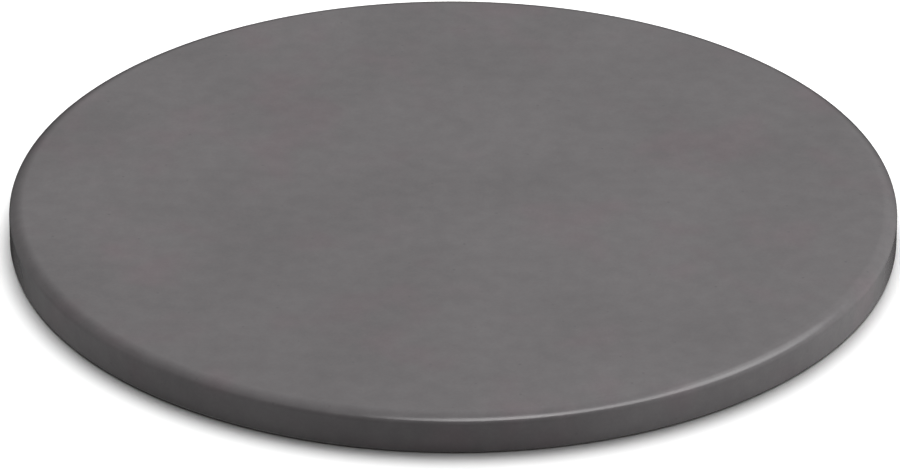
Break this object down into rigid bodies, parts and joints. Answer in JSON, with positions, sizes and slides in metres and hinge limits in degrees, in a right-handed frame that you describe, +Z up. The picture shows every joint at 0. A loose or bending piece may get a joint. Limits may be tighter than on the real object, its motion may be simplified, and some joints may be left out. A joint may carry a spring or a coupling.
{
  "type": "pizza stone",
  "caption": "Round flat pizza stone of fired ceramic, with a satin glaze over its top, rounded edge and wall, and a flat bare underside.",
  "frame": {"origin": "centre of the flat underside, on the surface the stone stands on", "axes": "+Z up along the disc's axis, through its thickness; X and Y lie in the underside, with -Y towards the picture's camera"},
  "size_m": [0.3599, 0.36, 0.016],
  "materials": {
    "bare_stone": "matte",
    "dark_glaze": "satin"
  },
  "bodies": {
    "root": {"stone_body": "bare_stone", "glaze_coat": "dark_glaze"}
  },
  "joints": []
}
